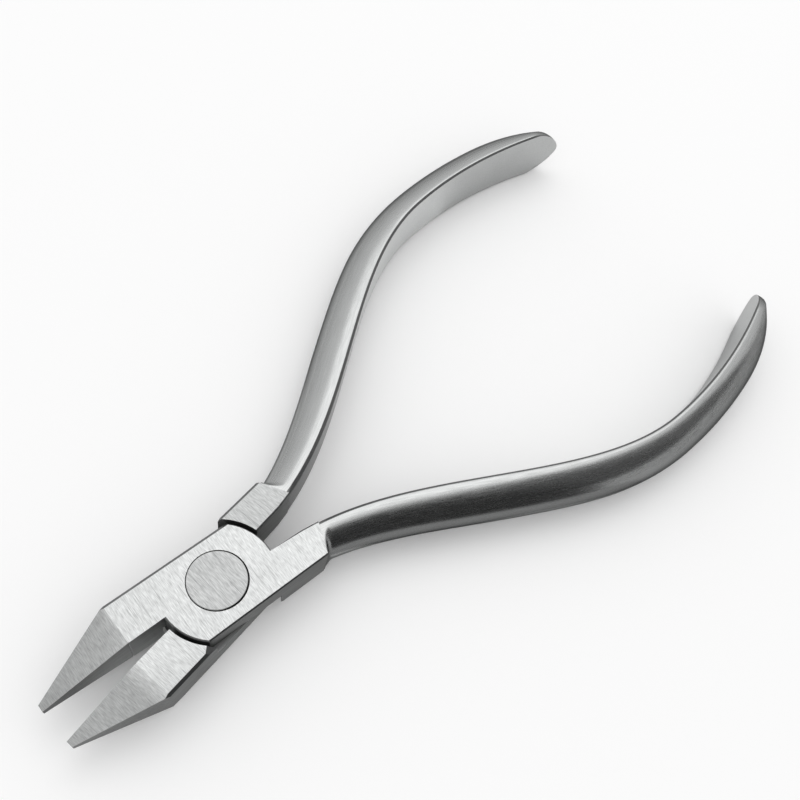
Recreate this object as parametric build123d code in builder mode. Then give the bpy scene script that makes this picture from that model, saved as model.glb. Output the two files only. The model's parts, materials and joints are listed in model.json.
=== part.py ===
"""Orthodontic pliers: two crossed forgings with flat smooth beaks, joined by one flush rivet.

The pliers lie on their back. The origin is on the pivot axis, in the plane of the joint's back face.
+X points to the beak tips, +Z up through the rivet's head. Sizes are in millimetres and degrees.
"""

import os
from math import asin, cos, degrees, pi, sin, sqrt

from build123d import *

# Overall sizes
BEAK_LENGTH = 25.0
HANDLE_REACH = 104.6
HALF_OPENING = 5.3

# Joint plate, lap and shank block
JOINT_THICKNESS = 7.0
JOINT_HALF_WIDTH = 5.85
EDGE_BEVEL = 0.42
SHANK_EDGE_BEVEL = 0.2
LAP_RADIUS = 7.9
LAP_RIM_BEVEL = 0.2
SHOULDER_GAP = 0.5
LAP_CLEARANCE = 0.05
SHANK_LENGTH = 15.4
SHANK_SLANT = 1.9
SHANK_INSET = 0.95
SHANK_STEP = 0.08
SHANK_FACET_RUN = 0.8
SHANK_FACET_INSET = 0.35
FACET_DROP = 0.9

# Beaks
TIP_WIDTH = 0.95
TIP_THICKNESS = 1.1
FRONT_BEAK_ROOT = 13.0
REAR_BEAK_ROOT = 13.9
UNDER_TAPER_START = 10.5
BEAK_FACET_RUN = 2.2
BEAK_FACET_INSET = 1.0
GROOVE_DEPTH = 0.1
GROOVE_WIDTH = 0.2
JAW_CLEARANCE = 0.02

# Handles: the inner face's course, then the D-shaped section along it
BEND_LENGTH = 5.4
ROOT_BURY = 0.4
BOW_REACH = 70.0
BOW_OFFSET = 20.95
END_OFFSET = 13.2
END_HALF_HEIGHT = 4.95
ROOT_DEPTH = 4.3
GRIP_DEPTH = 5.5
BOW_DEPTH = 5.1
TAIL_DEPTH = 4.5
END_DEPTH = 1.5
RIM_BEVEL = 0.5
BACK_ARCS = 8
NOSE_LENGTH = 7.0

# Rivet
HEAD_RADIUS = 4.0
HEAD_THICKNESS = 1.9
STEM_RADIUS = 2.3
PEEN_RADIUS = 3.0
HEAD_CLEARANCE = 0.09
STEM_CLEARANCE = 0.04
SEAT_CLEARANCE = 0.05

# Heights and radii that follow from the sizes above
MID_HEIGHT = JOINT_THICKNESS / 2
LAP_FACE = MID_HEIGHT + LAP_CLEARANCE / 2
SHOULDER_RADIUS = LAP_RADIUS + SHOULDER_GAP
SHOULDER_CORNER = sqrt(SHOULDER_RADIUS**2 - JOINT_HALF_WIDTH**2)
ROOT_HALF_HEIGHT = MID_HEIGHT - SHANK_STEP
PEEN_DEPTH = PEEN_RADIUS - STEM_RADIUS
HEAD_SEAT = JOINT_THICKNESS - HEAD_THICKNESS
BEND_START = SHANK_LENGTH - BEND_LENGTH

# Course of the handle's inner face in a closed pair: out of the shank, round the bow, in to the end
with BuildLine(Plane.XY.offset(MID_HEIGHT)) as handle_course:
    third = (BOW_REACH - BEND_START) / 3
    swell = Bezier(
        (-BEND_START, SHANK_INSET),
        (-BEND_START - third, SHANK_INSET),
        (-BOW_REACH + third, BOW_OFFSET),
        (-BOW_REACH, BOW_OFFSET),
    )
    Bezier(swell @ 1, (-(BOW_REACH + HANDLE_REACH) / 2, BOW_OFFSET), (-HANDLE_REACH, END_OFFSET))
course = handle_course.wires()[0]
shank_share = BEND_LENGTH / (BOW_REACH - BEND_START)
shank_end = swell @ shank_share
shank_bend = swell @ (shank_share / 2)

# Share of the handle's course and the section's depth there, from inside the shank block to the end
HANDLE_STATIONS = (
    ((BEND_LENGTH - SHANK_SLANT - ROOT_BURY) / course.length, ROOT_DEPTH),
    (0.17, (ROOT_DEPTH + 2 * GRIP_DEPTH) / 3),
    (0.32, GRIP_DEPTH),
    (0.48, GRIP_DEPTH),
    (0.64, BOW_DEPTH),
    (0.78, BOW_DEPTH),
    (0.90, TAIL_DEPTH),
    (1.00, END_DEPTH),
)


def section_plane(share):
    """Plane across the handle at a share of its course, with its X axis pointing out of the grip."""
    along = course % share
    return Plane(origin=course @ share, x_dir=(along.Y, -along.X, 0), z_dir=along)


def lap_angle(offset):
    """Angle on the lap circle at a distance from the pliers' centre line."""
    return degrees(asin(offset / LAP_RADIUS))


def facet_plane(side, run, inset):
    """Plane of the facet on a shoulder's outer corner, facing out: side is -1 at the beak, 1 at the shank."""
    across = JOINT_HALF_WIDTH - inset
    on_arc = Vector(-side * sqrt(SHOULDER_RADIUS**2 - across**2), side * across, 0)
    on_edge = Vector(-side * (SHOULDER_CORNER + run), side * JOINT_HALF_WIDTH, 0)
    below = Vector(-side * SHOULDER_CORNER, side * JOINT_HALF_WIDTH, FACET_DROP)
    return Plane(origin=on_arc, x_dir=on_edge - on_arc, z_dir=(on_edge - on_arc).cross(below - on_arc))


def back_points(depth, half_height):
    """Ends and middles of the arcs round the back of a handle's section, from the lower rim to the upper."""
    turns = [pi * step / (2 * BACK_ARCS) - pi / 2 for step in range(2 * BACK_ARCS + 1)]
    return [(RIM_BEVEL + (depth - RIM_BEVEL) * cos(turn), half_height * sin(turn)) for turn in turns]


def forge_half(beak_root, lap_taper, back_taper):
    """One forging of a closed pair: beak along +X below the centre line, handle along -X above it.

    The beak narrows from beak_root on. Its lap side and its back thin down from lap_taper and back_taper on.
    """
    with BuildPart() as half:
        # Plan of the beak, joint plate and shank block
        with BuildSketch():
            with BuildLine():
                crotch = CenterArc(
                    (0, 0),
                    LAP_RADIUS,
                    -lap_angle(JAW_CLEARANCE),
                    lap_angle(JOINT_HALF_WIDTH) + lap_angle(JAW_CLEARANCE),
                )
                heel = CenterArc(
                    (0, 0),
                    LAP_RADIUS,
                    180 - lap_angle(SHANK_INSET - SHANK_STEP),
                    lap_angle(JOINT_HALF_WIDTH) + lap_angle(SHANK_INSET - SHANK_STEP),
                )
                Polyline(
                    crotch @ 1,
                    (SHANK_SLANT - SHANK_LENGTH, JOINT_HALF_WIDTH),
                    (shank_end.X, shank_end.Y - SHANK_STEP),
                    (shank_bend.X, shank_bend.Y - SHANK_STEP),
                    heel @ 0,
                )
                Polyline(
                    heel @ 1,
                    (beak_root, -JOINT_HALF_WIDTH),
                    (BEAK_LENGTH, -JAW_CLEARANCE - TIP_WIDTH),
                    (BEAK_LENGTH, -JAW_CLEARANCE),
                    (beak_root + GROOVE_WIDTH / 2, -JAW_CLEARANCE),
                    (beak_root, -JAW_CLEARANCE - GROOVE_DEPTH),
                    (beak_root - GROOVE_WIDTH / 2, -JAW_CLEARANCE),
                    crotch @ 0,
                )
            make_face()
        extrude(amount=JOINT_THICKNESS)

        # Side view: flat joint, then both faces of the beak ground down to the tip
        with BuildSketch(Plane.XZ):
            with BuildLine():
                Polyline(
                    (shank_end.X, 0),
                    (back_taper, 0),
                    (BEAK_LENGTH, MID_HEIGHT - TIP_THICKNESS / 2),
                    (BEAK_LENGTH, MID_HEIGHT + TIP_THICKNESS / 2),
                    (lap_taper, JOINT_THICKNESS),
                    (shank_end.X, JOINT_THICKNESS),
                    close=True,
                )
            make_face()
        extrude(amount=JOINT_HALF_WIDTH, both=True, mode=Mode.INTERSECT)

        # End view: the long outer edges are bevelled, the shank's on the plate's own face more lightly
        with BuildSketch(Plane.YZ.offset(shank_end.X)) as end_view:
            with Locations((0, MID_HEIGHT)):
                Rectangle(2 * JOINT_HALF_WIDTH, JOINT_THICKNESS)
            to_plate_edge = Axis((0, 0, 0), (1, 1, 0))
            chamfer(end_view.vertices().sort_by(to_plate_edge)[:-1], EDGE_BEVEL)
            chamfer(end_view.vertices().sort_by(to_plate_edge)[-1], SHANK_EDGE_BEVEL)
        extrude(amount=BEAK_LENGTH - shank_end.X, mode=Mode.INTERSECT)

        # Lap: a round recess for the other half's plate, with bevelled rims and faceted outer corners
        with BuildSketch():
            Circle(SHOULDER_RADIUS)
        extrude(amount=LAP_FACE, mode=Mode.SUBTRACT)
        lap_rims = half.edges().filter_by(GeomType.CIRCLE).group_by(Axis.Z)[-1]
        chamfer(lap_rims, LAP_RIM_BEVEL)
        for side, run, inset in (
            (-1, BEAK_FACET_RUN, BEAK_FACET_INSET),
            (1, SHANK_FACET_RUN, SHANK_FACET_INSET),
        ):
            with BuildSketch(facet_plane(side, run, inset)):
                Rectangle(4 * run, 4 * run)
            extrude(amount=run, mode=Mode.SUBTRACT)

        # Handle: flat inner face with a bevelled rim and a rounded back, widening to the end
        for share, depth in HANDLE_STATIONS:
            half_height = ROOT_HALF_HEIGHT + (END_HALF_HEIGHT - ROOT_HALF_HEIGHT) * share
            back = back_points(depth, half_height)
            with BuildSketch(section_plane(share)):
                with BuildLine():
                    for start, middle, end in zip(back[0::2], back[1::2], back[2::2]):
                        ThreePointArc(start, middle, end)
                    Polyline(
                        back[-1],
                        (0, half_height - RIM_BEVEL),
                        (0, RIM_BEVEL - half_height),
                        back[0],
                    )
                make_face()
        loft()

        # Handle end: rounded off to a nose
        end_plane = section_plane(1)
        nose_plane = Plane(origin=end_plane.origin, x_dir=-end_plane.z_dir, z_dir=end_plane.x_dir)
        outside = 2 * END_HALF_HEIGHT
        with BuildSketch(nose_plane):
            with BuildLine():
                nose = EllipticalCenterArc(
                    (NOSE_LENGTH, 0), NOSE_LENGTH, END_HALF_HEIGHT, start_angle=90, arc_size=90
                )
                Polyline(
                    nose @ 1,
                    (-END_DEPTH, 0),
                    (-END_DEPTH, outside),
                    (NOSE_LENGTH, outside),
                    nose @ 0,
                )
            make_face()
        revolve(axis=Axis(nose_plane.origin, nose_plane.x_dir), mode=Mode.SUBTRACT)
    return half.part


os.makedirs("parts", exist_ok=True)

# Front half: its lap lies on top and is counterbored for the rivet's head
front_plane = Plane.XY.rotated((0, 0, -HALF_OPENING))
with BuildPart(front_plane) as front_half:
    add(forge_half(FRONT_BEAK_ROOT, FRONT_BEAK_ROOT, UNDER_TAPER_START))
    with Locations((0, 0, JOINT_THICKNESS)):
        CounterBoreHole(
            radius=STEM_RADIUS + STEM_CLEARANCE,
            counter_bore_radius=HEAD_RADIUS + HEAD_CLEARANCE,
            counter_bore_depth=HEAD_THICKNESS + SEAT_CLEARANCE,
        )
front_half.part.label = "front_half"
export_step(front_half.part, "parts/front_half.step")

# Rear half: the same forging turned over, countersunk at the back for the rivet's peened end
rear_plane = Plane.XY.offset(JOINT_THICKNESS).rotated((180, 0, -HALF_OPENING))
with BuildPart(rear_plane) as rear_half:
    add(forge_half(REAR_BEAK_ROOT, UNDER_TAPER_START, REAR_BEAK_ROOT))
    with Locations((0, 0, JOINT_THICKNESS)):
        CounterSinkHole(radius=STEM_RADIUS, counter_sink_radius=PEEN_RADIUS, counter_sink_angle=90)
rear_half.part.label = "rear_half"
export_step(rear_half.part, "parts/rear_half.step")

# Rivet: wide flush head in the front half, stem peened into the rear half
with BuildPart() as pivot_rivet:
    with BuildSketch(Plane.XZ):
        with BuildLine():
            Polyline(
                (0, 0),
                (PEEN_RADIUS, 0),
                (STEM_RADIUS, PEEN_DEPTH),
                (STEM_RADIUS, HEAD_SEAT),
                (HEAD_RADIUS, HEAD_SEAT),
                (HEAD_RADIUS, JOINT_THICKNESS),
                (0, JOINT_THICKNESS),
                close=True,
            )
        make_face()
    revolve(axis=Axis.Z)
pivot_rivet.part.label = "pivot_rivet"
export_step(pivot_rivet.part, "parts/pivot_rivet.step")
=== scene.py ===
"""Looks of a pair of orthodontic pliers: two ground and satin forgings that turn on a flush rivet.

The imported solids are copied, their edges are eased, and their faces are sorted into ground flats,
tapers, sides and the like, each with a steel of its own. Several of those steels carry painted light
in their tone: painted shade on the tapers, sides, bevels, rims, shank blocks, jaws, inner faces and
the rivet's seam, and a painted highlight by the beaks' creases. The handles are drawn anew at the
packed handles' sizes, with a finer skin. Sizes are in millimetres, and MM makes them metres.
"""

import json
import logging
import math
from abc import ABC, abstractmethod
from dataclasses import dataclass, field, replace
from enum import Enum

import bmesh
import bpy
from mathutils import Matrix, Vector


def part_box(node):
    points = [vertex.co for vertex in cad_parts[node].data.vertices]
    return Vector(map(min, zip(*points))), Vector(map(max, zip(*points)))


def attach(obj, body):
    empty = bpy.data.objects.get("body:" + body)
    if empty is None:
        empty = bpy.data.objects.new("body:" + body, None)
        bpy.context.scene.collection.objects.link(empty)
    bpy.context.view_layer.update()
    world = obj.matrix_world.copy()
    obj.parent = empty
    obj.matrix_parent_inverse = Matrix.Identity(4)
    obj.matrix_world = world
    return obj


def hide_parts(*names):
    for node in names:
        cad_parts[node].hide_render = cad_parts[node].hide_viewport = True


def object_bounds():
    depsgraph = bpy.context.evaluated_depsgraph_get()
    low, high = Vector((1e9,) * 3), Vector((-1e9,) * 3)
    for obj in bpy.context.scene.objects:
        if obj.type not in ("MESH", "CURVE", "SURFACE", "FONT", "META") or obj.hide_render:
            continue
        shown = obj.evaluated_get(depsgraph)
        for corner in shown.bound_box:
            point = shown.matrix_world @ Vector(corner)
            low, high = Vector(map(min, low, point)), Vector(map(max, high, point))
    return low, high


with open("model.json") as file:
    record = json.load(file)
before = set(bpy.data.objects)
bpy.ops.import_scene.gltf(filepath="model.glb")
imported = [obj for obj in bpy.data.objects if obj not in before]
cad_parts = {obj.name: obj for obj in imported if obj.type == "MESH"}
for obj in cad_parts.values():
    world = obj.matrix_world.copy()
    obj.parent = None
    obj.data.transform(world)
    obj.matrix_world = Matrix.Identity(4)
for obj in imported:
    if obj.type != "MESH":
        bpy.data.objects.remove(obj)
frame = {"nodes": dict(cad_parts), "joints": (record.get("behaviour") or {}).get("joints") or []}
cad_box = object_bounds()

LOG = logging.getLogger("pliers")
MM = 0.001
QUARTER_TURN = math.pi / 2

# The pivot's upper limit closes the beaks, so at rest each half is turned by half of it.
HALF_OPENING_DEG = frame["joints"][0]["range_deg"][1] / 2

# The rivet is ground flush with both outer faces of the joint, and the lower one is at zero.
JOINT_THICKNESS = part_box("pivot_rivet")[1].z / MM


class Grain(Enum):
    """How the marks of grinding or polishing run over a face."""

    ACROSS = "across the pliers"
    ALONG = "along the pliers"
    COURSE = "along the handle's course"
    SATIN = "no way at all"


class Ramp(Enum):
    """How a value changes from one end of a ramp to the other."""

    STRAIGHT = "LINEAR"
    SOFT = "SMOOTHSTEP"


class Zone(Enum):
    """Kinds of face on a forging, in the order of its material slots."""

    FLAT = 0
    TAPER = 1
    SIDE = 2
    BEVEL = 3
    GRIP = 4
    INNER = 5
    RIM = 6
    EDGE = 7
    BLOCK = 8
    JAW = 9


@dataclass
class NodeGraph:
    """A node tree, with short ways to add nodes and links.

    Attributes:
        tree: The tree.
        noise_span: The range that most of a noise lies in.
    """

    tree: bpy.types.NodeTree
    noise_span: tuple[float, float] = (0.3, 0.7)

    def __post_init__(self) -> None:
        """Starts from an empty tree."""
        self.tree.nodes.clear()

    def add(self, kind: str, **settings: object) -> bpy.types.Node:
        """Adds a node.

        Args:
            kind: The node's type name.
            settings: Attributes of the node to set.

        Returns:
            The new node.
        """
        node = self.tree.nodes.new(kind)
        for name, value in settings.items():
            setattr(node, name, value)
        return node

    def feed(self, socket: bpy.types.NodeSocket, source: object) -> None:
        """Links a socket to an output, or sets its value.

        Args:
            socket: The input socket.
            source: An output socket, or a plain value.
        """
        if isinstance(source, bpy.types.NodeSocket):
            self.tree.links.new(source, socket)
        else:
            socket.default_value = source

    def noise(
        self, vector: bpy.types.NodeSocket, detail: float = 0.0, scale: float = 1.0
    ) -> bpy.types.NodeSocket:
        """Adds a noise texture.

        Args:
            vector: The place to read the noise at.
            detail: Number of finer layers.
            scale: Bumps per unit of the vector.

        Returns:
            The noise's value, from 0 to 1.
        """
        node = self.add("ShaderNodeTexNoise")
        self.feed(node.inputs["Vector"], vector)
        self.feed(node.inputs["Scale"], scale)
        self.feed(node.inputs["Detail"], detail)
        return node.outputs["Fac"]

    def ramp(
        self,
        value: bpy.types.NodeSocket,
        span: tuple[float, float],
        ends: tuple[float, float],
        style: Ramp = Ramp.STRAIGHT,
    ) -> bpy.types.NodeSocket:
        """Maps a span of values to another one, and holds its ends beyond.

        Args:
            value: The value to map.
            span: The two values that the ramp runs between.
            ends: What those two become.
            style: How the value changes between them.

        Returns:
            The mapped value.
        """
        node = self.add("ShaderNodeMapRange", clamp=True, interpolation_type=style.value)
        self.feed(node.inputs["Value"], value)
        self.feed(node.inputs["From Min"], span[0])
        self.feed(node.inputs["From Max"], span[1])
        self.feed(node.inputs["To Min"], ends[0])
        self.feed(node.inputs["To Max"], ends[1])
        return node.outputs["Result"]

    def spread(
        self, noise: bpy.types.NodeSocket, middle: float, swing: float
    ) -> bpy.types.NodeSocket:
        """Stretches the usual range of a noise over a new range.

        Args:
            noise: A noise value.
            middle: The middle of the new range.
            swing: How far the lighter noise goes from it.

        Returns:
            The stretched value.
        """
        return self.ramp(noise, self.noise_span, (middle - swing, middle + swing))

    def times(self, first: bpy.types.NodeSocket, second: object) -> bpy.types.NodeSocket:
        """Multiplies two values.

        Args:
            first: An output socket.
            second: An output socket or a number.

        Returns:
            The product.
        """
        node = self.add("ShaderNodeMath", operation="MULTIPLY")
        self.feed(node.inputs[0], first)
        self.feed(node.inputs[1], second)
        return node.outputs[0]

    def show(self, kind: str, shader: bpy.types.NodeSocket) -> None:
        """Adds the tree's output node.

        Args:
            kind: The output node's type name.
            shader: What it shows.
        """
        self.feed(self.add(kind).inputs["Surface"], shader)


@dataclass(frozen=True)
class SteelFinish:
    """Stainless steel with the marks of how it was finished.

    Attributes:
        name: The material's name.
        tone: Its grey level.
        roughness: How matt it is.
        grain: The way that its marks run.
        mark_size: A mark's width and length.
        contrast: How much the marks change the tone.
        relief: How deep the marks are.
        clouding: How much broad clouds change the tone.
        slant_share: What is left of the reflection at a slant.
        fade_span: Where along the closed piece the tone starts and ends its change, a painted shade
            or highlight.
        fade_share: The share of the tone at the span's first end, below 1 for painted shade, above 1
            for a painted highlight.
        scratch_share: The share of the tone in a scratch.
        scratch_size: A scratch's width and length.
        scratch_span: The noise at which a scratch starts, and at which it is full.
        mark_detail: Number of finer layers in the marks.
        cloud_size: A cloud's width.
        cloud_detail: Number of finer layers in the clouds.
        gloss_swing: How much smoother the lighter marks are.
        tint: The share of each colour.
    """

    name: str
    tone: float
    roughness: float
    grain: Grain
    mark_size: tuple[float, float]
    contrast: float
    relief: float
    clouding: float = 0.05
    slant_share: float = 0.6
    fade_span: tuple[float, float] = (0.0, 0.0)
    fade_share: float = 1.0
    scratch_share: float = 1.0
    scratch_size: tuple[float, float] = (0.16, 5.0)
    scratch_span: tuple[float, float] = (0.63, 0.78)
    mark_detail: float = 3.0
    cloud_size: float = 6.0
    cloud_detail: float = 2.0
    gloss_swing: float = 0.05
    tint: tuple[float, float, float] = (0.985, 1.0, 0.995)

    def material(self, turn: float) -> bpy.types.Material:
        """Builds the steel.

        Args:
            turn: The piece's turn about the pivot, in radians, so that its marks turn with it.

        Returns:
            The material.
        """
        made = bpy.data.materials.new(self.name)
        made.use_nodes = True
        graph = NodeGraph(made.node_tree)
        spots = graph.add("ShaderNodeTexCoord").outputs
        place = self.turned(graph, spots["Object"], turn)
        mark_place = spots["UV"] if self.grain is Grain.COURSE else place
        marks = graph.noise(self.stretched(graph, mark_place, self.mark_size), self.mark_detail)
        bump = graph.add("ShaderNodeBump")
        graph.feed(bump.inputs["Height"], marks)
        graph.feed(bump.inputs["Distance"], self.relief * MM)
        shade = self.shade(graph, spots["Object"], place, marks)
        colour = graph.add("ShaderNodeCombineColor")
        for channel, share in enumerate(self.tint):
            graph.feed(colour.inputs[channel], graph.times(shade, self.tone * share))
        slant = (self.slant_share, self.slant_share, self.slant_share, 1.0)
        rough = graph.spread(marks, self.roughness, -self.gloss_swing)
        steel = graph.add("ShaderNodeBsdfPrincipled")
        graph.feed(steel.inputs["Base Color"], colour.outputs["Color"])
        graph.feed(steel.inputs["Metallic"], 1.0)
        graph.feed(steel.inputs["Specular Tint"], slant)
        graph.feed(steel.inputs["Roughness"], rough)
        graph.feed(steel.inputs["Normal"], bump.outputs["Normal"])
        graph.show("ShaderNodeOutputMaterial", steel.outputs["BSDF"])
        return made

    def shade(
        self,
        graph: NodeGraph,
        spot: bpy.types.NodeSocket,
        place: bpy.types.NodeSocket,
        marks: bpy.types.NodeSocket,
    ) -> bpy.types.NodeSocket:
        """Puts the marks, clouds, the fade of painted shade or highlight, and scratches together.

        Args:
            graph: The material's nodes.
            spot: The place on the piece.
            place: The same place on the closed piece.
            marks: The noise of the marks.

        Returns:
            The share of the tone there.
        """
        clouds = graph.noise(spot, self.cloud_detail, 1 / (self.cloud_size * MM))
        shade = graph.times(
            graph.spread(marks, 1.0, self.contrast), graph.spread(clouds, 1.0, self.clouding)
        )
        # Painted shade or a painted highlight along the piece.
        if self.fade_share != 1:
            shade = graph.times(shade, self.fade(graph, place))
        if self.scratch_share != 1:
            shade = graph.times(shade, self.scratches(graph, place))
        return shade

    def fade(self, graph: NodeGraph, place: bpy.types.NodeSocket) -> bpy.types.NodeSocket:
        """Paints shade or a highlight into the tone toward one end of a stretch along the piece.

        Args:
            graph: The material's nodes.
            place: The place on the closed piece.

        Returns:
            The share of the tone there.
        """
        axes = graph.add("ShaderNodeSeparateXYZ")
        graph.feed(axes.inputs[0], place)
        span = (self.fade_span[0] * MM, self.fade_span[1] * MM)
        return graph.ramp(axes.outputs["X"], span, (self.fade_share, 1.0), Ramp.SOFT)

    def scratches(self, graph: NodeGraph, place: bpy.types.NodeSocket) -> bpy.types.NodeSocket:
        """Draws a few long scratches among the marks.

        Args:
            graph: The material's nodes.
            place: The place on the closed piece.

        Returns:
            The share of the tone there, below 1 in a scratch.
        """
        lines = graph.noise(self.stretched(graph, place, self.scratch_size))
        return graph.ramp(lines, self.scratch_span, (1.0, self.scratch_share), Ramp.SOFT)

    def stretched(
        self, graph: NodeGraph, place: bpy.types.NodeSocket, size: tuple[float, float]
    ) -> bpy.types.NodeSocket:
        """Scales a place so that one mark is one unit each way.

        Args:
            graph: The material's nodes.
            place: The place on the closed piece, or on the handle's course.
            size: A mark's width and length.

        Returns:
            The scaled place.
        """
        fine, long = 1 / (size[0] * MM), 1 / (size[1] * MM)
        scale = {
            Grain.ACROSS: (fine, long, fine),
            Grain.ALONG: (long, fine, fine),
            Grain.COURSE: (long, fine, fine),
            Grain.SATIN: (fine, fine, fine),
        }[self.grain]
        scaled = graph.add("ShaderNodeVectorMath", operation="MULTIPLY")
        graph.feed(scaled.inputs[0], place)
        graph.feed(scaled.inputs[1], scale)
        return scaled.outputs["Vector"]

    def turned(
        self, graph: NodeGraph, spot: bpy.types.NodeSocket, turn: float
    ) -> bpy.types.NodeSocket:
        """Turns a place on the piece back to where it is when the pliers are closed.

        Args:
            graph: The material's nodes.
            spot: The place on the piece.
            turn: The piece's turn about the pivot, in radians.

        Returns:
            The place on the closed piece.
        """
        node = graph.add("ShaderNodeVectorRotate", rotation_type="Z_AXIS")
        graph.feed(node.inputs["Vector"], spot)
        graph.feed(node.inputs["Angle"], -turn)
        return node.outputs["Vector"]


BRUSHED_FLAT = SteelFinish(
    name="brushed_flat",
    tone=0.66,
    roughness=0.48,
    grain=Grain.ACROSS,
    mark_size=(0.09, 0.9),
    contrast=0.17,
    relief=0.0014,
    clouding=0.03,
    scratch_share=0.78,
)
# Painted shade: the shank blocks' flats are the plate's brushed steel in a darker tone.
BRUSHED_BLOCK_PAINTED_SHADE = replace(BRUSHED_FLAT, name="brushed_block_painted_shade", tone=0.50, contrast=0.19)
BRUSHED_RIVET = SteelFinish(
    name="brushed_rivet",
    tone=0.46,
    roughness=0.42,
    grain=Grain.ACROSS,
    mark_size=(0.09, 1.0),
    contrast=0.22,
    relief=0.0018,
    clouding=0.04,
    scratch_share=0.78,
)
# Painted light: the tapers get a darker tone than the flats, painted shade for their slope, and a
# painted highlight that fades out from the crease.
BRUSHED_TAPER_PAINTED_LIGHT = SteelFinish(
    name="brushed_taper_painted_light",
    tone=0.40,
    roughness=0.40,
    grain=Grain.ACROSS,
    mark_size=(0.09, 1.0),
    contrast=0.22,
    relief=0.0014,
    fade_span=(13.0, 15.0),
    fade_share=1.12,
)
# Painted highlight: a stronger brightening from the rear beak's crease, so that the crease looks
# soft.
BLENDED_TAPER_PAINTED_LIGHT = replace(
    BRUSHED_TAPER_PAINTED_LIGHT, name="blended_taper_painted_light", tone=0.41, fade_span=(13.4, 16.4), fade_share=1.45
)
# Painted shade: the sides get a dark tone for the dark they reflect; their grinding marks along the
# pliers are real.
GROUND_SIDE_PAINTED_SHADE = SteelFinish(
    name="ground_side_painted_shade",
    tone=0.24,
    roughness=0.45,
    grain=Grain.ALONG,
    mark_size=(0.2, 4.0),
    contrast=0.12,
    relief=0.002,
)
# The bevels are darker still, painted shade.
GROUND_BEVEL_PAINTED_SHADE = replace(GROUND_SIDE_PAINTED_SHADE, name="ground_bevel_painted_shade", tone=0.20, roughness=0.40)
# Painted shade: the beaks' inner faces darken toward the tips, where they face each other.
GROUND_JAW_PAINTED_SHADE = replace(
    GROUND_BEVEL_PAINTED_SHADE, name="ground_jaw_painted_shade", tone=0.60, fade_span=(22.0, 12.0), fade_share=0.27
)
WORN_EDGE = SteelFinish(
    name="worn_edge",
    tone=0.55,
    roughness=0.30,
    grain=Grain.ALONG,
    mark_size=(0.2, 3.0),
    contrast=0.08,
    relief=0.001,
)
# Painted shade: the rivet head's eased rim is darker, for the shade in the seam round the head.
DARK_SEAM_PAINTED_SHADE = replace(WORN_EDGE, name="dark_seam_painted_shade", tone=0.36)
SATIN_GRIP = SteelFinish(
    name="satin_grip",
    tone=0.47,
    roughness=0.25,
    grain=Grain.COURSE,
    mark_size=(0.2, 3.0),
    contrast=0.05,
    relief=0.0008,
    clouding=0.02,
    slant_share=0.2,
)
# Painted shade: the rim bevels along the handles and shank blocks get a dark tone for the dark line
# they show.
SATIN_RIM_PAINTED_SHADE = SteelFinish(
    name="satin_rim_painted_shade",
    tone=0.19,
    roughness=0.60,
    grain=Grain.SATIN,
    mark_size=(0.18, 0.18),
    contrast=0.05,
    relief=0.001,
)
# Painted shade: the handles' inner faces darken toward the root, where they face each other.
SATIN_INNER_PAINTED_SHADE = replace(
    SATIN_RIM_PAINTED_SHADE,
    name="satin_inner_painted_shade",
    tone=0.70,
    roughness=0.40,
    clouding=0.02,
    slant_share=0.95,
    fade_span=(-14.0, -62.0),
    fade_share=0.22,
)


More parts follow.
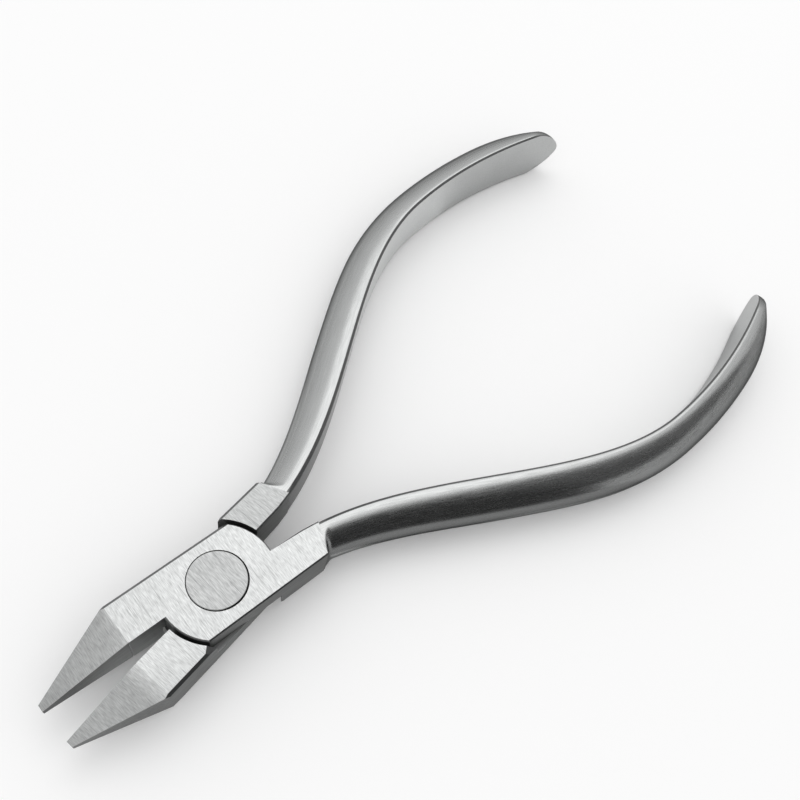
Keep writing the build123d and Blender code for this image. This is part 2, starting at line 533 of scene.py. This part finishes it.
@dataclass
class Handle:
    """A handle in a closed pair, a D-shaped section swept along a bowed course to a rounded nose.

    The section has a flat inner face, two bevelled rims and a round back. Its depths are given at
    shares of the course.
    """

    bend_start: float = 10.0
    bow_reach: float = 70.0
    reach: float = 104.6
    root_offset: float = 0.95
    bow_offset: float = 20.95
    end_offset: float = 13.2
    mid_height: float = JOINT_THICKNESS / 2
    root_half_height: float = 3.42
    end_half_height: float = 4.95
    depths: tuple[tuple[float, float], ...] = (
        (0.031, 4.3),
        (0.17, 5.1),
        (0.32, 5.5),
        (0.48, 5.5),
        (0.64, 5.1),
        (0.78, 5.1),
        (0.90, 4.5),
        (1.0, 1.5),
    )
    rim_bevel: float = 0.5
    end_rim_bevel: float = 0.24
    depth_per_bevel: float = 9.0
    rim_roundness: float = 1.25
    nose_length: float = 8.0
    nose_sharpness: float = 0.64
    tip_round: float = 8.0
    tip_depth: float = 0.15
    block_corner: Vector = field(default_factory=lambda: Vector((-13.5, 5.85, 0.0)))
    block_heel: Vector = field(default_factory=lambda: Vector((-15.4, 1.327, 0.0)))
    block_bevel: float = 0.42
    block_margin: float = 0.005
    root_fillet: float = 1.2
    root_length: float = 6.0
    swell_samples: int = 300
    tail_samples: int = 200
    root_steps: int = 34
    grip_steps: int = 90
    nose_steps: int = 18
    inner_steps: int = 6
    rim_steps: int = 6
    back_steps: int = 36
    back_pitch: float = 0.4
    samples: list[tuple[float, Vector, Vector]] = field(init=False, default_factory=list)
    length: float = field(init=False, default=0.0)

    def __post_init__(self) -> None:
        """Samples the course once, as lengths along it, places and directions."""
        third = (self.bow_reach - self.bend_start) / 3
        swell = [
            self.course_point(self.bend_start, self.root_offset),
            self.course_point(self.bend_start + third, self.root_offset),
            self.course_point(self.bow_reach - third, self.bow_offset),
            self.course_point(self.bow_reach, self.bow_offset),
        ]
        tail = [
            self.course_point(self.bow_reach, self.bow_offset),
            self.course_point((self.bow_reach + self.reach) / 2, self.bow_offset),
            self.course_point(self.reach, self.end_offset),
        ]
        spots = [self.curve(swell, k / self.swell_samples) for k in range(self.swell_samples)]
        spots += [self.curve(tail, k / self.tail_samples) for k in range(self.tail_samples + 1)]
        last = spots[0][0]
        for place, along in spots:
            self.length += (place - last).length
            self.samples.append((self.length, place, along))
            last = place

    def course_point(self, reach: float, offset: float) -> Vector:
        """Returns the point at mid height that lies so far behind the pivot and to its side."""
        return Vector((-reach, offset, self.mid_height))

    def curve(self, corners: list[Vector], share: float) -> tuple[Vector, Vector]:
        """Finds a place on a smooth curve through a frame of corners.

        Args:
            corners: The curve's control points.
            share: How far along it, from 0 to 1.

        Returns:
            The place and the direction there.
        """
        while len(corners) > 2:
            corners = [a.lerp(b, share) for a, b in zip(corners, corners[1:])]
        return corners[0].lerp(corners[1], share), (corners[1] - corners[0]).normalized()

    def at(self, length: float) -> tuple[Vector, Vector]:
        """Finds a place on the course.

        Args:
            length: How far along the course.

        Returns:
            The place and the direction there.
        """
        for near, far in zip(self.samples, self.samples[1:]):
            if length <= far[0]:
                share = (length - near[0]) / (far[0] - near[0])
                return near[1].lerp(far[1], share), near[2].lerp(far[2], share).normalized()
        return self.samples[-1][1], self.samples[-1][2]

    def depth(self, share: float) -> float:
        """Finds the section's depth by a smooth curve through the depths, rounded off at the tip.

        Args:
            share: The share of the course.

        Returns:
            The depth.
        """
        knots = self.depths
        rises = [(b[1] - a[1]) / (b[0] - a[0]) for a, b in zip(knots, knots[1:])]
        between = [(a + b) / 2 if a * b > 0 else 0.0 for a, b in zip(rises, rises[1:])]
        slopes = [rises[0], *between, rises[-1]]
        span = next((k for k in range(len(rises)) if share <= knots[k + 1][0]), len(rises) - 1)
        (start, near), (end, far) = knots[span], knots[span + 1]
        part = min(max((share - start) / (end - start), 0.0), 1.0)
        rest = 1 - part
        depth = (
            (1 + 2 * part) * rest ** 2 * near
            + part * rest ** 2 * (end - start) * slopes[span]
            + part ** 2 * (1 + 2 * rest) * far
            - part ** 2 * rest * (end - start) * slopes[span + 1]
        )
        short = max(1 - (1 - share) * self.length / self.tip_round, 0.0)
        return max(depth * (1 - short * short) ** self.nose_sharpness, self.tip_depth)

    def stations(self) -> list[float]:
        """Spaces the sections out along the course, closest at the root and the nose.

        Returns:
            The length along the course of each section.
        """
        start = self.depths[0][0] * self.length
        grip_start = start + self.root_length
        grip_length = self.length - self.nose_length - grip_start
        turns = [QUARTER_TURN * (1 - k / self.nose_steps) for k in range(self.nose_steps)]
        root = [start + self.root_length * k / self.root_steps for k in range(self.root_steps)]
        grip = [grip_start + grip_length * k / self.grip_steps for k in range(self.grip_steps)]
        nose = [self.length - self.nose_length * (1 - math.cos(turn)) for turn in turns]
        return root + grip + nose

    def section(self, share: float) -> list[tuple[Zone, Vector, Vector]]:
        """Draws the D-shaped section, up the inner face, over the back and down.

        Args:
            share: The share of the course.

        Returns:
            The zone that starts at each point, the point and the way out of the steel there.
        """
        depth = self.depth(share)
        half_height = self.root_half_height + (self.end_half_height - self.root_half_height) * share
        bevel = self.rim_bevel + (self.end_rim_bevel - self.rim_bevel) * share
        bevel = min(bevel, depth / self.depth_per_bevel)
        flat = half_height - bevel
        ring = []
        for k in range(self.inner_steps):
            level = flat * (2 * k / self.inner_steps - 1)
            ring.append((Zone.INNER, Vector((0, level, 0)), Vector()))
        rim = []
        for k in range(self.rim_steps + 1):
            turn = QUARTER_TURN * k / self.rim_steps
            inward = bevel * math.cos(turn) ** (2 / self.rim_roundness)
            upward = bevel * math.sin(turn) ** (2 / self.rim_roundness)
            rim.append(Vector((bevel - inward, flat + upward, 0)))
        # The rims take the dark rim steel, painted shade.
        for point in rim[:-1]:
            ring.append((Zone.RIM, point, Vector((0, point.x / bevel, 0))))
        reach = depth - bevel
        for k in range(self.back_steps):
            turn = QUARTER_TURN - math.pi * k / self.back_steps
            point = Vector((bevel + reach * math.cos(turn), half_height * math.sin(turn), 0))
            out = Vector((math.cos(turn) / reach, math.sin(turn) / half_height, 0)).normalized()
            ring.append((Zone.GRIP, point, out))
        for point in reversed(rim[1:]):
            lower = Vector((point.x, -point.y, 0))
            ring.append((Zone.RIM, lower, Vector((0, -point.x / bevel, 0))))
        return ring

    def block_way(self) -> Vector:
        """Returns the way out of the shank block's slanted end."""
        edge = self.block_heel - self.block_corner
        return Vector((edge.y, -edge.x, 0)).normalized()

    def flare(self, point: Vector, out: Vector) -> Vector:
        """Swells the root into the shank block by a fillet that stays within the block's outline.

        Args:
            point: A point of the section, in the closed pair.
            out: The way out of the steel there, or a zero vector on the inner face.

        Returns:
            The moved point.
        """
        gap = max((point - self.block_corner).dot(self.block_way()), 0.0)
        if gap >= self.root_fillet or not out.length:
            return point
        left = 1 - gap / self.root_fillet
        moved = point + out * self.root_fillet * (1 - math.sqrt(1 - left * left))
        top = self.mid_height - self.block_margin
        side = self.block_corner.y - self.block_margin
        level = min(max(moved.z - self.mid_height, -top), top)
        over = moved.y + abs(level) - (top + side - self.block_bevel)
        if over > 0:
            moved.y -= over / 2
            level -= math.copysign(over / 2, level)
        return Vector((moved.x, min(moved.y, side), self.mid_height + level))

    def round_nose(self, point: Vector) -> Vector:
        """Rounds the handle's end off to a nose.

        Args:
            point: A point of the section, in the closed pair.

        Returns:
            The point, drawn in to the nose where it lies outside it.
        """
        _, tip, along = self.samples[-1]
        inward = (tip - point).dot(along)
        if inward >= self.nose_length:
            return point
        share = max(inward, 0.0) / self.nose_length
        limit = self.end_half_height * (1 - (1 - share) ** 2) ** self.nose_sharpness
        axis = tip - along * inward
        away = point - axis
        return axis + away * (limit / away.length) if away.length > limit else point

    def ring(
        self, solid: bmesh.types.BMesh, lay: Matrix, length: float
    ) -> list[tuple[Zone, bmesh.types.BMVert]]:
        """Adds the corners of one section to a forging's mesh.

        Args:
            solid: The forging's mesh.
            lay: The turn that lays the closed pair's half in its place.
            length: How far along the course.

        Returns:
            The zone that starts at each corner, and the corner.
        """
        place, along = self.at(length)
        outward = Vector((along.y, -along.x, 0))
        corners = []
        for zone, point, out in self.section(length / self.length):
            spot = place + outward * point.x + Vector((0, 0, point.y))
            spot = self.flare(spot, outward * out.x + Vector((0, 0, out.y)))
            corners.append((zone, solid.verts.new((lay @ self.round_nose(spot)) * MM)))
        return corners

    def add_to(self, solid: bmesh.types.BMesh, lay: Matrix) -> None:
        """Adds the handle's skin to a forging's mesh.

        Args:
            solid: The forging's mesh.
            lay: The turn that lays the closed pair's half in its place.
        """
        course = solid.loops.layers.uv.verify()
        lengths = self.stations()
        rings = [self.ring(solid, lay, length) for length in lengths]
        tip = solid.verts.new((lay @ self.samples[-1][1]) * MM)
        skin = [solid.faces.new([corner for _, corner in reversed(rings[0])])]
        for near, far, start, end in zip(rings, rings[1:], lengths, lengths[1:]):
            for k, (zone, corner) in enumerate(near):
                after = (k + 1) % len(near)
                face = solid.faces.new((corner, near[after][1], far[after][1], far[k][1]))
                face.material_index = zone.value
                steps = zip(face.loops, (start, start, end, end), (k, k + 1, k + 1, k))
                for loop, along, around in steps:
                    loop[course].uv = (along * MM, around * self.back_pitch * MM)
                skin.append(face)
        last = rings[-1]
        for k, (zone, corner) in enumerate(last):
            face = solid.faces.new((corner, last[(k + 1) % len(last)][1], tip))
            face.material_index = zone.value
            skin.append(face)
        for face in skin:
            face.smooth = True
        bmesh.ops.recalc_face_normals(solid, faces=skin)


@dataclass
class Piece(ABC):
    """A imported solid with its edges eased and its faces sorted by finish."""

    node: str
    body: str
    slot: str
    turn_deg: float = 0.0
    edge_round: float = 0.07
    edge_steps: int = 2
    edge_profile: float = 0.5
    sharp_deg: float = 24.0
    flat_deg: float = 0.25
    weld_gap: float = 0.001

    def build(self) -> bpy.types.Object:
        """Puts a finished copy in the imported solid's place.

        Returns:
            The finished piece.
        """
        mesh = self.shape()
        for finish in self.finishes():
            mesh.materials.append(finish.material(math.radians(self.turn_deg)))
        piece = bpy.data.objects.new(mesh.name, mesh)
        bpy.context.scene.collection.objects.link(piece)
        normals = piece.modifiers.new("flat_faces", "WEIGHTED_NORMAL")
        normals.keep_sharp = True
        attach(piece, self.body)
        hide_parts(self.node)
        return piece

    def shape(self) -> bpy.types.Mesh:
        """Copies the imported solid, sorts its faces and eases its edges.

        Returns:
            The piece's mesh.
        """
        solid = bmesh.new()
        solid.from_mesh(frame["nodes"][self.node].data)
        bmesh.ops.remove_doubles(solid, verts=solid.verts, dist=self.weld_gap * MM)
        self.trim(solid)
        flat = math.radians(self.flat_deg)
        bmesh.ops.dissolve_limit(solid, angle_limit=flat, verts=solid.verts, edges=solid.edges)
        for face in solid.faces:
            face.material_index = self.zone(face).value
            face.smooth = True
        self.ease_edges(solid)
        self.extend(solid)
        mesh = bpy.data.meshes.new(self.node + "_finished")
        solid.to_mesh(mesh)
        solid.free()
        return mesh

    def trim(self, solid: bmesh.types.BMesh) -> None:
        """Leaves the copy as it is."""

    def extend(self, solid: bmesh.types.BMesh) -> None:
        """Adds nothing to the copy."""

    def ease_edges(self, solid: bmesh.types.BMesh) -> None:
        """Rounds the sharp edges a little.

        Args:
            solid: The piece's mesh.
        """
        limit = math.radians(self.sharp_deg)
        sharp = [edge for edge in solid.edges if edge.calc_face_angle(0) > limit]
        self.bevel(solid, sharp, self.edge_round, self.edge_steps, Zone.EDGE)

    def bevel(
        self,
        solid: bmesh.types.BMesh,
        edges: list[bmesh.types.BMEdge],
        width: float,
        steps: int,
        zone: Zone,
    ) -> None:
        """Rounds some edges, or cuts them off flat.

        Args:
            solid: The piece's mesh.
            edges: The edges to take.
            width: How far the new faces reach from each edge.
            steps: Number of faces across it.
            zone: The kind of face that it gets.
        """
        bmesh.ops.bevel(
            solid,
            geom=edges,
            offset=width * MM,
            offset_type="OFFSET",
            segments=steps,
            profile=self.edge_profile,
            affect="EDGES",
            clamp_overlap=zone is Zone.EDGE,
            material=zone.value,
        )

    @abstractmethod
    def zone(self, face: bmesh.types.BMFace) -> Zone:
        """Sorts a face by where it is and which way it looks.

        Args:
            face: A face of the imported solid.

        Returns:
            The kind of face.
        """

    @abstractmethod
    def finishes(self) -> list[SteelFinish]:
        """Returns the piece's finishes, in the order of the zones."""


@dataclass
class Forging(Piece):
    """One half: beak, joint plate and shank block, with a handle.

    A face is level, sloped or a wall by how upright its normal is, from 0 to 1.
    """

    turned_over: bool = False
    taper: SteelFinish = BRUSHED_TAPER_PAINTED_LIGHT
    level_from: float = 0.995
    slope_from: float = 0.9
    wall_below: float = 0.2
    lap_within: float = 2.8
    taper_start: float = 10.6
    jaw_start: float = 8.0
    jaw_within: float = 0.1
    end_trim: float = 0.02
    shoulder: float = -7.0
    rim_within: float = 1.6
    rim_width: float = 0.22
    rim_sharp_deg: float = 57.0
    handle: Handle = field(default_factory=Handle)

    def lay(self) -> Matrix:
        """Finds the turn that lays a closed pair's half in its place.

        Returns:
            The turn, in millimetres.
        """
        turn = Matrix.Rotation(math.radians(self.turn_deg), 4, "Z")
        if self.turned_over:
            turn = turn @ Matrix.Translation((0, 0, JOINT_THICKNESS))
            turn = turn @ Matrix.Rotation(math.pi, 4, "X")
        return turn

    def trim(self, solid: bmesh.types.BMesh) -> None:
        """Cuts the copy off at the end of the shank block.

        Args:
            solid: The piece's mesh.
        """
        lay = self.lay()
        away = self.handle.block_way()
        bmesh.ops.bisect_plane(
            solid,
            geom=solid.verts[:] + solid.edges[:] + solid.faces[:],
            plane_co=lay @ (self.handle.block_corner - away * self.end_trim) * MM,
            plane_no=lay.to_3x3() @ away,
            clear_outer=True,
        )
        bmesh.ops.holes_fill(solid, edges=[edge for edge in solid.edges if edge.is_boundary])

    def extend(self, solid: bmesh.types.BMesh) -> None:
        """Adds the handle."""
        self.handle.add_to(solid, self.lay())

    def ease_edges(self, solid: bmesh.types.BMesh) -> None:
        """Carries the handle's rims on along the shank block, then rounds the sharp edges.

        Args:
            solid: The piece's mesh.
        """
        back = self.lay().inverted()
        limit = math.radians(self.rim_sharp_deg)
        rims = []
        for edge in solid.edges:
            ends = [back @ (corner.co / MM) for corner in edge.verts]
            on_block = all(end.x < self.shoulder and end.y < self.rim_within for end in ends)
            level = abs(ends[0].z - ends[1].z) < self.edge_round
            if on_block and level and edge.calc_face_angle(0) > limit:
                rims.append(edge)
        # The block's rims take the dark rim steel too, painted shade.
        self.bevel(solid, rims, self.rim_width, steps=1, zone=Zone.RIM)
        super().ease_edges(solid)

    def zone(self, face: bmesh.types.BMFace) -> Zone:
        """Sorts a face by where it is and which way it looks.

        Args:
            face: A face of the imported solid.

        Returns:
            The kind of face.
        """
        closed = Matrix.Rotation(-math.radians(self.turn_deg), 3, "Z")
        place = closed @ face.calc_center_median() / MM
        height = place.z - JOINT_THICKNESS / 2
        upright = abs(face.normal.z)
        if upright > self.level_from:
            if abs(height) < self.lap_within:
                return Zone.SIDE
            # The lap-side flats behind the joint take the darker block steel, painted shade.
            on_block = place.x < 0 and (height > 0) == self.turned_over
            return Zone.BLOCK if on_block else Zone.FLAT
        if upright > self.slope_from and place.x > self.taper_start:
            return Zone.TAPER
        # Sloped bevels, and the walls below, take steels with painted shade in their tone.
        if upright >= self.wall_below:
            return Zone.BEVEL
        # Inner faces of the beaks take the jaw steel, painted shade toward the tips.
        in_jaw = place.x > self.jaw_start and abs(place.y) < self.jaw_within
        return Zone.JAW if in_jaw else Zone.SIDE

    def finishes(self) -> list[SteelFinish]:
        """Returns the forging's finishes, in the order of the zones."""
        return [
            BRUSHED_FLAT,
            self.taper,
            GROUND_SIDE_PAINTED_SHADE,
            GROUND_BEVEL_PAINTED_SHADE,
            SATIN_GRIP,
            SATIN_INNER_PAINTED_SHADE,
            SATIN_RIM_PAINTED_SHADE,
            WORN_EDGE,
            BRUSHED_BLOCK_PAINTED_SHADE,
            GROUND_JAW_PAINTED_SHADE,
        ]


@dataclass
class Rivet(Piece):
    """The pin of the joint, ground flush, with a head that sits a hair to one side of its seat."""

    edge_round: float = 0.16
    stem_reach: float = 3.2
    head_shift: Vector = field(default_factory=lambda: Vector((0.01, -0.075, 0.0)))

    def trim(self, solid: bmesh.types.BMesh) -> None:
        """Shifts the head's rim within its clearance, so that its seam is wider on one side.

        Args:
            solid: The piece's mesh.
        """
        for corner in solid.verts:
            if corner.co.xy.length > self.stem_reach * MM:
                corner.co += self.head_shift * MM

    def zone(self, face: bmesh.types.BMFace) -> Zone:
        """Returns the same kind for every face."""
        return Zone.FLAT

    def finishes(self) -> list[SteelFinish]:
        """Returns the rivet's finishes, in the order of the zones up to the eased edges."""
        # The eased rim of the head gets the darker seam steel, painted shade.
        return [BRUSHED_RIVET] * Zone.EDGE.value + [DARK_SEAM_PAINTED_SHADE]


@dataclass(frozen=True)
class Sheet:
    """A bent sheet beside the pliers, which only reflections in the steel show: a painted
    reflection.

    Attributes:
        name: The sheet's name.
        tone: Its grey level.
        span_deg: Where it starts and ends round the pliers.
        folds: The radius and the height above the floor of each fold, from the inside out.
    """

    name: str
    tone: float
    span_deg: tuple[float, float]
    folds: tuple[tuple[float, float], ...]


# The sheets' folds: each one's radius round the lamp's aim, and its height above the floor.
NEAR_FOLD = (32.0, 0.0)
TAIL_FOLD = (36.0, 0.0)
FAR_FOLD = (125.0, 0.0)
LIP_FOLD = (125.0, 45.0)
TOP_FOLD = (125.0, 420.0)


@dataclass
class Studio:
    """The floor, the lamp, and the sheets that paint dark reflections and reflected shade into the
    steel.
    """

    floor_size: float = 6000.0
    floor_tone: float = 0.97
    sky_tones: tuple[float, float] = (0.62, 1.03)
    key_aim: Vector = field(default_factory=lambda: Vector((-60.0, 0.0, 0.0)))
    key_from_deg: tuple[float, float] = (213.0, 66.0)
    key_distance: float = 1500.0
    key_size: tuple[float, float] = (1210.0, 1030.0)
    key_tone: float = 0.8
    sheet_lift: float = 0.05
    sheet_steps: int = 24
    # Painted reflections: the standing cards paint the dark band along the handles' backs, and the
    # sheets laid flat on the floor paint shade beside the pliers into what the steel reflects, while
    # the floor itself stays evenly lit.
    sheets: tuple[Sheet, ...] = (
        Sheet("dark_reflection_card", tone=0.024, span_deg=(40.0, 88.0), folds=(FAR_FOLD, TOP_FOLD)),
        Sheet("grey_reflection_card", tone=0.11, span_deg=(88.0, 122.0), folds=(LIP_FOLD, TOP_FOLD)),
        Sheet("pale_reflection_card", tone=0.17, span_deg=(122.0, 145.0), folds=(LIP_FOLD, TOP_FOLD)),
        Sheet("front_reflected_shade", tone=0.36, span_deg=(16.0, 90.0), folds=(NEAR_FOLD, FAR_FOLD)),
        Sheet("bow_reflected_shade", tone=0.52, span_deg=(90.0, 150.0), folds=(NEAR_FOLD, FAR_FOLD, LIP_FOLD)),
        Sheet("tail_reflected_shade", tone=0.66, span_deg=(150.0, 182.0), folds=(TAIL_FOLD, FAR_FOLD)),
        Sheet("rear_reflected_shade", tone=0.64, span_deg=(182.0, 320.0), folds=(NEAR_FOLD, FAR_FOLD)),
    )

    def build(self) -> None:
        """Makes the floor, the sky, the lamp and the sheets."""
        self.floor()
        self.sky()
        self.key_lamp()
        for sheet in self.sheets:
            self.stand(sheet)

    def matt(self, name: str, tone: float) -> bpy.types.Material:
        """Makes a matt material for the stage.

        Args:
            name: The material's name.
            tone: Its grey level.

        Returns:
            The material.
        """
        made = bpy.data.materials.new(name)
        made.use_nodes = True
        graph = NodeGraph(made.node_tree)
        paint = graph.add("ShaderNodeBsdfDiffuse")
        graph.feed(paint.inputs["Color"], (tone, tone, tone, 1.0))
        graph.show("ShaderNodeOutputMaterial", paint.outputs["BSDF"])
        return made

    def stage_mesh(
        self, name: str, points: list[Vector], faces: list[tuple[int, ...]], tone: float
    ) -> bpy.types.Object:
        """Makes a mesh that belongs to the stage.

        Args:
            name: The object's name.
            points: Its corners, in millimetres.
            faces: Its faces, by corner.
            tone: Its grey level.

        Returns:
            The object.
        """
        mesh = bpy.data.meshes.new(name)
        mesh.from_pydata([point * MM for point in points], [], faces)
        mesh.materials.append(self.matt(name, tone))
        thing = bpy.data.objects.new(name, mesh)
        bpy.context.scene.collection.objects.link(thing)
        return thing

    def floor(self) -> None:
        """Lays the floor under the lowest point of the pliers."""
        reach, level = self.floor_size / 2, cad_box[0].z / MM
        sides = ((-1, -1), (1, -1), (1, 1), (-1, 1))
        corners = [Vector((x * reach, y * reach, level)) for x, y in sides]
        self.stage_mesh("floor", corners, [(0, 1, 2, 3)], self.floor_tone)

    def sky(self) -> None:
        """Fills the room with a pale light that grows from the horizon up."""
        world = bpy.data.worlds.new("studio")
        bpy.context.scene.world = world
        world.use_nodes = True
        graph = NodeGraph(world.node_tree)
        axes = graph.add("ShaderNodeSeparateXYZ")
        graph.feed(axes.inputs[0], graph.add("ShaderNodeTexCoord").outputs["Generated"])
        light = graph.add("ShaderNodeBackground")
        rise = graph.ramp(axes.outputs["Z"], (0.0, 1.0), self.sky_tones)
        graph.feed(light.inputs["Color"], rise)
        graph.show("ShaderNodeOutputWorld", light.outputs["Background"])

    def key_lamp(self) -> None:
        """Hangs a large soft box above and behind the pliers."""
        lamp = bpy.data.lights.new("soft_box", "AREA")
        lamp.shape = "RECTANGLE"
        lamp.size = self.key_size[0] * MM
        lamp.size_y = self.key_size[1] * MM
        lamp.energy = self.key_tone * math.pi * lamp.size * lamp.size_y
        turn, rise = (math.radians(angle) for angle in self.key_from_deg)
        level = math.cos(rise)
        way = Vector((math.cos(turn) * level, math.sin(turn) * level, math.sin(rise)))
        hung = bpy.data.objects.new("soft_box", lamp)
        hung.location = (self.key_aim + way * self.key_distance) * MM
        hung.rotation_euler = way.to_track_quat("Z", "Y").to_euler()
        bpy.context.scene.collection.objects.link(hung)

    def stand(self, sheet: Sheet) -> None:
        """Bends a sheet round the pliers.

        Args:
            sheet: The sheet's tone, turns and folds.
        """
        level = cad_box[0].z / MM + self.sheet_lift
        count = len(sheet.folds)
        start, end = (math.radians(angle) for angle in sheet.span_deg)
        points = []
        for step in range(self.sheet_steps + 1):
            turn = start + (end - start) * step / self.sheet_steps
            way = Vector((math.cos(turn), math.sin(turn), 0))
            for radius, height in sheet.folds:
                points.append(self.key_aim + way * radius + Vector((0, 0, level + height)))
        faces = [
            (k, k + count, k + count + 1, k + 1)
            for step in range(self.sheet_steps)
            for k in range(count * step, count * step + count - 1)
        ]
        made = self.stage_mesh(sheet.name, points, faces, sheet.tone)
        # Hidden from all but glossy rays, so the sheet is a painted reflection.
        made.visible_camera = False
        made.visible_diffuse = False
        made.visible_shadow = False


@dataclass
class PhotoCamera:
    """The camera at the photograph's place."""

    place: Vector = field(default_factory=lambda: Vector((21.760, 27.948, 113.083)))
    right: Vector = field(default_factory=lambda: Vector((-0.69205, 0.70685, 0.14639)))
    down: Vector = field(default_factory=lambda: Vector((0.57491, 0.66237, -0.48035)))
    lens: float = 38.15
    shift: tuple[float, float] = (0.03, 0.03)
    near_limit: float = 1.0

    def build(self) -> None:
        """Makes the camera and hands it to the scene."""
        lens = bpy.data.cameras.new("photo_camera")
        lens.lens = self.lens
        lens.shift_x, lens.shift_y = self.shift
        lens.clip_start = self.near_limit * MM
        camera = bpy.data.objects.new("photo_camera", lens)
        up = -self.down.normalized()
        right = self.right.normalized()
        turn = Matrix((right, up, right.cross(up))).transposed()
        camera.matrix_world = Matrix.Translation(self.place * MM) @ turn.to_4x4()
        bpy.context.scene.collection.objects.link(camera)
        bpy.context.scene.camera = camera


def main() -> None:
    """Builds the pieces, the studio and the camera."""
    logging.basicConfig(level=logging.INFO, format="%(message)s")
    pieces = [
        Forging("front_half", "front", "forged_steel", turn_deg=-HALF_OPENING_DEG),
        Forging(
            "rear_half",
            "rear",
            "forged_steel",
            turn_deg=HALF_OPENING_DEG,
            turned_over=True,
            taper=BLENDED_TAPER_PAINTED_LIGHT,
        ),
        Rivet("pivot_rivet", "rear", "rivet_steel"),
    ]
    for piece in pieces:
        made = piece.build()
        LOG.info("%s: %d faces", made.name, len(made.data.polygons))
    Studio().build()
    PhotoCamera().build()
    bpy.context.scene.view_settings.view_transform = "Standard"


if __name__ == "__main__":
    main()
